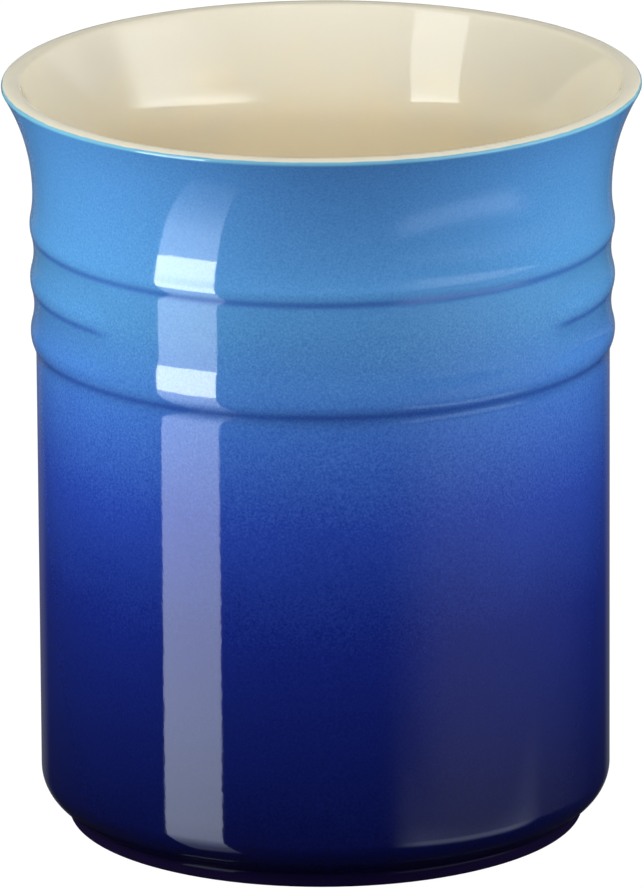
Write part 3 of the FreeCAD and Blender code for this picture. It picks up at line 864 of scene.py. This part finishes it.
def outer_glaze(shape, finish):
    """The sprayed fade from azure at the lip to navy at the foot."""
    shades = Shades("ombre_glaze")
    grain = shades.ripple(finish.mottle_size, roughness=GRAIN_ROUGHNESS)
    shift = shades.sums("MULTIPLY", grain, GRAIN_REACH * finish.mottle_shift)
    drift = shades.ripple(CLOUD_SIZE, CLOUD_REACH * finish.mottle_shift)
    level = shades.sums("ADD", shades.sums("ADD", shades.height, shift), drift)
    ramp = shades.add("ShaderNodeValToRGB", Fac=shades.sums("DIVIDE", level, shape.height))
    set_stops(ramp, [(share, getattr(finish, name)) for name, share in FADE])
    mottle = [shades.sums("MULTIPLY_ADD", grain, MOTTLE_GAIN * part, 1.0) for part in finish.mottle_shade]
    shade = shades.add("ShaderNodeCombineXYZ", X=mottle[0], Y=mottle[1], Z=mottle[2])
    mottled = shades.add("ShaderNodeVectorMath", {"operation": "MULTIPLY"})
    shades.tree.links.new(ramp.outputs["Color"], mottled.inputs[0])
    shades.tree.links.new(shade.outputs["Vector"], mottled.inputs[1])
    # Painted shade: the creases under the rings are mixed towards cobalt, partly also for glaze lying thick
    # there
    pooled = shades.sums("MULTIPLY", painted_crease_shade(shades, shape, finish), finish.crease_shade)
    shaded = shades.mix(pooled, mottled.outputs["Vector"], finish.cobalt)
    near_lip = shades.sums("ADD", shades.height, shades.ripple(EDGE_WAVE, OUTER_WOBBLE))
    thin = shades.span(near_lip, *[shape.height - drop for drop in THIN_LIP])
    shades.paint(shades.mix(thin, shaded, finish.thin_glaze))
    gloss(shades, finish, finish.peel_size, finish.peel_depth, finish.glass_tint)
    glazed = shades.span(shades.height, *DRY_FOOT)
    shades.tree.links.new(glazed, shades.shader.inputs["Coat Weight"])
    return shades.material


def inner_glaze(shape, finish):
    """The cream glaze of the inside."""
    shades = Shades("cream_glaze")
    level = shades.sums("ADD", shades.height, shades.ripple(DEEP_TAN_CLOUD, DEEP_TAN_SHIFT, detail=3.0))
    # Share of the warmer deep cream, which grows lower down inside
    pooled = shades.span(level, *[shape.height - drop for drop in DEEP_TAN_DEPTHS], 1.0, 0.0)
    cream = shades.mix(pooled, finish.cream, finish.cream_deep)
    specks = shades.specks(SPECK_SPACING, SPECK_SHARE, SPECK_REACH)
    speckled = shades.mix(specks, cream, finish.clay_dark)
    near_rim = shades.sums("ADD", shades.radius(), shades.ripple(EDGE_WAVE, INNER_WOBBLE))
    broken = shades.span(near_rim, *[shape.rim_radius - inset for inset in BROKEN_LIP])
    shades.paint(shades.mix(broken, speckled, finish.thin_glaze))
    gloss(shades, finish, finish.swell_size, finish.swell_depth, finish.cream_tint)
    return shades.material


def base_glaze(finish):
    """The dark glaze in the recess under the jar."""
    shades = Shades("base_glaze")
    shades.paint(shades.mix(shades.noise(BASE_CLOUD, detail=3.0), finish.foot_blue, finish.navy))
    gloss(shades, finish, finish.peel_size, finish.peel_depth, finish.glass_tint)
    return shades.material


def bare_clay(finish):
    """Fired stoneware without glaze, matt and grainy."""
    shades = Shades("bare_stoneware")
    grog = shades.span(shades.noise(GROG_SIZE, detail=4.0, roughness=GROG_ROUGHNESS), *GROG_RANGE)
    shades.paint(shades.mix(grog, finish.clay, finish.clay_dark))
    shades.shader.inputs["Roughness"].default_value = CLAY_ROUGHNESS
    shades.bump(shades.noise(CLAY_GRAIN, detail=3.0), CLAY_DEPTH, "Normal")
    return shades.material


# Stage


class Sky:
    """The world's nodes, fed by the direction that a ray leaves in."""

    def __init__(self, name):
        self.world = bpy.data.worlds.new(name)
        self.world.use_nodes = True
        self.tree = self.world.node_tree
        self.path = self.tree.nodes.new("ShaderNodeLightPath").outputs
        place = self.tree.nodes.new("ShaderNodeTexCoord").outputs["Generated"]
        way = self.tree.nodes.new("ShaderNodeSeparateXYZ")
        self.tree.links.new(place, way.inputs["Vector"])
        self.backwards = way.outputs["Y"]
        forwards = self.sums("MULTIPLY", self.backwards, -1.0)
        self.azimuth = self.sums("ARCTAN2", way.outputs["X"], forwards)
        self.elevation = self.sums("ARCSINE", way.outputs["Z"])

    def sums(self, operation, *inputs):
        """A sum in the world's tree."""
        return add_math(self.tree, operation, *inputs)

    def edge(self, value, begin, full):
        """0 where an edge of light begins and 1 where it is full, whichever of the two is larger."""
        falls = float(begin > full)
        return add_span(self.tree, value, min(begin, full), max(begin, full), falls, 1.0 - falls)

    def light(self, patch):
        """A soft patch of light, between 0 and 1."""
        sides = (
            (self.azimuth, patch.left),
            (self.azimuth, patch.right),
            (self.elevation, patch.foot),
            (self.elevation, patch.top),
        )
        result = 1.0
        for value, (begin, full) in sides:
            edge = self.edge(value, math.radians(begin), math.radians(full))
            result = self.sums("MULTIPLY", result, edge)
        return result


def set_surroundings(scene, stage):
    """White for the camera; in reflections a dark room with a backdrop behind and a glow at the right."""
    sky = Sky("Studio")
    backdrop = sky.sums("MULTIPLY", sky.edge(sky.backwards, *BACKDROP_EDGE), stage.backdrop_shine)
    glow = sky.sums("MAXIMUM", sky.light(GLOW), sky.light(STREAK))
    glow = sky.sums("MULTIPLY", glow, stage.glow_shine)
    shine = sky.sums("ADD", sky.sums("ADD", backdrop, glow), stage.room_shine)
    mirrored = sky.sums("MULTIPLY", sky.path["Is Glossy Ray"], shine)
    plain = sky.sums("MULTIPLY", sky.sums("SUBTRACT", 1.0, sky.path["Is Glossy Ray"]), stage.room_light)
    strength = sky.sums("MAXIMUM", sky.path["Is Camera Ray"], sky.sums("ADD", mirrored, plain))
    background = sky.tree.nodes["Background"]
    background.inputs["Color"].default_value = (1.0, 1.0, 1.0, 1.0)
    sky.tree.links.new(strength, background.inputs["Strength"])
    scene.world = sky.world


def disc_object(name, radius, height, material):
    """A flat disc round the jar."""
    mesh = bpy.data.meshes.new(name)
    work = bmesh.new()
    bmesh.ops.create_circle(work, cap_ends=True, segments=DISC_SIDES, radius=radius)
    bmesh.ops.translate(work, verts=work.verts, vec=(0.0, 0.0, height))
    work.to_mesh(mesh)
    work.free()
    mesh.materials.append(material)
    disc = bpy.data.objects.new(name, mesh)
    bpy.context.scene.collection.objects.link(disc)
    return disc


def lay_floor(stage):
    """A pale floor that is nearly white where it shows, and keeps the jar's shadow."""
    material = bpy.data.materials.new("pale_floor")
    material.use_nodes = True
    tree = material.node_tree
    shader = tree.nodes["Principled BSDF"]
    shader.inputs["Base Color"].default_value = (*stage.floor_colour, 1.0)
    shader.inputs["Roughness"].default_value = FLOOR_ROUGHNESS
    shader.inputs["Specular IOR Level"].default_value = 0.0
    white = tree.nodes.new("ShaderNodeEmission")
    white.inputs["Strength"].default_value = FLOOR_GLOW
    seen = tree.nodes.new("ShaderNodeLightPath").outputs["Is Camera Ray"]
    mix = tree.nodes.new("ShaderNodeMixShader")
    tree.links.new(add_math(tree, "MULTIPLY", seen, stage.floor_white), mix.inputs["Fac"])
    tree.links.new(shader.outputs["BSDF"], mix.inputs[1])
    tree.links.new(white.outputs["Emission"], mix.inputs[2])
    tree.links.new(mix.outputs["Shader"], tree.nodes["Material Output"].inputs["Surface"])
    disc_object("floor", FLOOR_RADIUS, 0.0, material)


def lay_dark_ground():
    """A dark glossy table on a black ground, unseen by the camera, which dim what comes from below."""
    for sheet in SHEETS:
        material = bpy.data.materials.new(sheet.name)
        material.use_nodes = True
        shader = material.node_tree.nodes["Principled BSDF"]
        shader.inputs["Base Color"].default_value = SHEET_COLOUR
        shader.inputs["Roughness"].default_value = SHEET_ROUGHNESS
        shader.inputs["IOR"].default_value = SHEET_IOR
        shader.inputs["Specular Tint"].default_value = SHEET_TINT
        shader.inputs["Specular IOR Level"].default_value = sheet.gloss
        disc = disc_object(sheet.name, sheet.radius, sheet.height, material)
        disc.visible_camera = False
        disc.visible_transmission = False
        disc.visible_shadow = False


def area_lamp(name, place, facing, size, radiance, hue, mirrored):
    """A soft box that the camera doesn't see, and that shows either in reflections or as plain light."""
    width, height = size
    lamp = bpy.data.lights.new(name, "AREA")
    lamp.shape = "RECTANGLE"
    lamp.size = width
    lamp.size_y = height
    lamp.energy = radiance * math.pi * width * height
    lamp.color = hue
    box = bpy.data.objects.new(name, lamp)
    bpy.context.scene.collection.objects.link(box)
    box.location = place
    box.rotation_mode = "QUATERNION"
    box.rotation_quaternion = facing.to_track_quat("-Z", "Y")
    box.visible_camera = False
    box.visible_glossy = mirrored
    box.visible_diffuse = not mirrored
    return lamp


def grade(light, lamp):
    """Shades a lamp from its foot to its top, by heights above the floor, and softens its sides."""
    light.use_nodes = True
    tree = light.node_tree
    place = tree.nodes.new("ShaderNodeNewGeometry").outputs["Parametric"]
    parts = tree.nodes.new("ShaderNodeSeparateXYZ")
    tree.links.new(place, parts.inputs["Vector"])
    ramp = tree.nodes.new("ShaderNodeValToRGB")
    tree.links.new(parts.outputs["Y"], ramp.inputs["Fac"])
    span = lamp.high - lamp.low
    set_stops(ramp, [((height - lamp.low) / span, (share,) * 3) for height, share in lamp.fade])
    off_centre = add_math(tree, "ABSOLUTE", add_math(tree, "SUBTRACT", parts.outputs["X"], 0.5))
    sides = add_span(tree, off_centre, 0.5 - lamp.soft, 0.5, 1.0, 0.0)
    strength = add_math(tree, "MULTIPLY", ramp.outputs["Color"], sides)
    tree.links.new(strength, tree.nodes["Emission"].inputs["Strength"])


def around(azimuth, distance, height):
    """A place round the jar: the angle from the front, towards +X, the distance and the height."""
    return Vector((distance * math.sin(azimuth), -distance * math.cos(azimuth), height))


def upright_lamps(stage):
    """The strip and the box, which show in reflections, and the lamps all round that light the jar."""
    shine = stage.shine_colour
    beside = {"distance": 0.27, "low": 0.12, "high": 0.75, "width": 0.10, "hue": stage.side_colour}
    behind = {"distance": 0.8, "low": 0.02, "high": 0.40, "width": 0.8, "hue": stage.back_colour}
    return (
        Lamp(
            "strip", azimuth=-52.4, distance=0.6, low=0.0, high=0.70, width=0.265,
            radiance=stage.strip_shine, hue=shine, fade=STRIP_FADE, soft=0.01,
        ),
        Lamp(
            "right_box", azimuth=60.0, distance=0.7, low=0.20, high=0.50, width=1.0,
            radiance=stage.box_shine, hue=shine, fade=BOX_FADE, soft=0.25,
        ),
        Lamp("left_lamp", azimuth=-54.0, radiance=stage.left_light, **beside),
        Lamp("right_lamp", azimuth=60.0, radiance=stage.right_light, **beside),
        Lamp(
            "front_lamp", azimuth=8.0, distance=1.0, low=0.2, high=1.0, width=0.8,
            radiance=stage.fill_light, hue=stage.fill_colour,
        ),
        Lamp("back_left_lamp", azimuth=-140.0, radiance=stage.back_light, **behind),
        Lamp("back_right_lamp", azimuth=140.0, radiance=stage.back_light, **behind),
    )


def hang_lamps(stage):
    """The upright lamps round the jar, and one overhead."""
    for lamp in upright_lamps(stage):
        azimuth = math.radians(lamp.azimuth) + stage.turn
        place = around(azimuth, lamp.distance, (lamp.low + lamp.high) / 2)
        inwards = -around(azimuth, 1.0, 0.0)
        mirrored = lamp.fade is not None
        size = (lamp.width, lamp.high - lamp.low)
        light = area_lamp(lamp.name, place, inwards, size, lamp.radiance, lamp.hue, mirrored)
        if mirrored:
            grade(light, lamp)
    overhead = Vector((0.0, 0.0, TOP_LAMP_HEIGHT))
    size = (TOP_LAMP_SIZE, TOP_LAMP_SIZE)
    area_lamp("top_lamp", overhead, -overhead, size, stage.top_light, stage.top_colour, False)


def set_camera(scene, stage):
    """The camera, from the front and a little above."""
    data = bpy.data.cameras.new("camera")
    data.lens = stage.lens
    camera = bpy.data.objects.new("camera", data)
    scene.collection.objects.link(camera)
    aim = around(stage.turn + math.radians(90), stage.aim_across, stage.aim_height)
    back = around(stage.turn, math.cos(stage.elevation), math.sin(stage.elevation))
    camera.location = aim + back * stage.distance
    camera.rotation_mode = "QUATERNION"
    roll = Quaternion((0.0, 0.0, 1.0), stage.roll)
    camera.rotation_quaternion = (-back).to_track_quat("-Z", "Y") @ roll
    scene.camera = camera


# Operators and their panel


class CROCK_OT_clay(Operator):
    """Give the jar's clay its bare, grainy finish"""

    bl_idname = "crock.clay"
    bl_label = "Finish the clay"

    def execute(self, context):
        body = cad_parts["stoneware_body"]
        body.data.materials.clear()
        body.data.materials.append(bare_clay(context.scene.crock_finish))
        return {"FINISHED"}


class CROCK_OT_outer_glaze(Operator):
    """Turn the two coats of the outside, which fade into each other"""

    bl_idname = "crock.outer_glaze"
    bl_label = "Glaze the outside"

    def execute(self, context):
        shape = context.scene.crock_shape
        glaze = outer_glaze(shape, context.scene.crock_finish)
        turned_coat("glaze_upper", upper_section(shape), glaze, "upper_glaze")
        turned_coat("glaze_lower", lower_section(shape), glaze, "lower_glaze")
        return {"FINISHED"}


class CROCK_OT_inner_glaze(Operator):
    """Turn the cream coat of the inside and the lip"""

    bl_idname = "crock.inner_glaze"
    bl_label = "Glaze the inside"

    def execute(self, context):
        shape = context.scene.crock_shape
        glaze = inner_glaze(shape, context.scene.crock_finish)
        turned_coat("glaze_inside", inner_section(shape), glaze, "inner_glaze")
        return {"FINISHED"}


class CROCK_OT_base_glaze(Operator):
    """Turn the coat in the recess under the jar"""

    bl_idname = "crock.base_glaze"
    bl_label = "Glaze the base"

    def execute(self, context):
        glaze = base_glaze(context.scene.crock_finish)
        section = base_section(context.scene.crock_shape)
        turned_coat("glaze_base", section, glaze, "base_glaze")
        return {"FINISHED"}


class CROCK_OT_stage(Operator):
    """Set the floor, the surroundings, the lamps and the camera"""

    bl_idname = "crock.stage"
    bl_label = "Set the stage"

    def execute(self, context):
        stage = context.scene.crock_stage
        context.scene.view_settings.view_transform = "Standard"
        set_surroundings(context.scene, stage)
        lay_floor(stage)
        lay_dark_ground()
        hang_lamps(stage)
        set_camera(context.scene, stage)
        return {"FINISHED"}


class CROCK_PT_sidebar(Panel):
    """The crock's pieces and settings"""

    bl_idname = "CROCK_PT_sidebar"
    bl_label = "Utensil crock"
    bl_space_type = "VIEW_3D"
    bl_region_type = "UI"
    bl_category = "Crock"

    def draw(self, context):
        for operator in OPERATORS:
            self.layout.operator(operator.bl_idname)
        for group in ("crock_shape", "crock_finish", "crock_stage"):
            settings = getattr(context.scene, group)
            box = self.layout.box()
            for name in settings.bl_rna.properties.keys():
                if name not in ("rna_type", "name"):
                    box.prop(settings, name)


OPERATORS = (
    CROCK_OT_clay,
    CROCK_OT_outer_glaze,
    CROCK_OT_inner_glaze,
    CROCK_OT_base_glaze,
    CROCK_OT_stage,
)
CLASSES = (CrockShape, CrockFinish, CrockStage, *OPERATORS, CROCK_PT_sidebar)


def register():
    for cls in CLASSES:
        bpy.utils.register_class(cls)
    bpy.types.Scene.crock_shape = PointerProperty(type=CrockShape)
    bpy.types.Scene.crock_finish = PointerProperty(type=CrockFinish)
    bpy.types.Scene.crock_stage = PointerProperty(type=CrockStage)


def unregister():
    del bpy.types.Scene.crock_stage
    del bpy.types.Scene.crock_finish
    del bpy.types.Scene.crock_shape
    for cls in reversed(CLASSES):
        bpy.utils.unregister_class(cls)


def main():
    register()
    bpy.ops.crock.clay()
    bpy.ops.crock.outer_glaze()
    bpy.ops.crock.inner_glaze()
    bpy.ops.crock.base_glaze()
    bpy.ops.crock.stage()


if __name__ == "__main__":
    main()
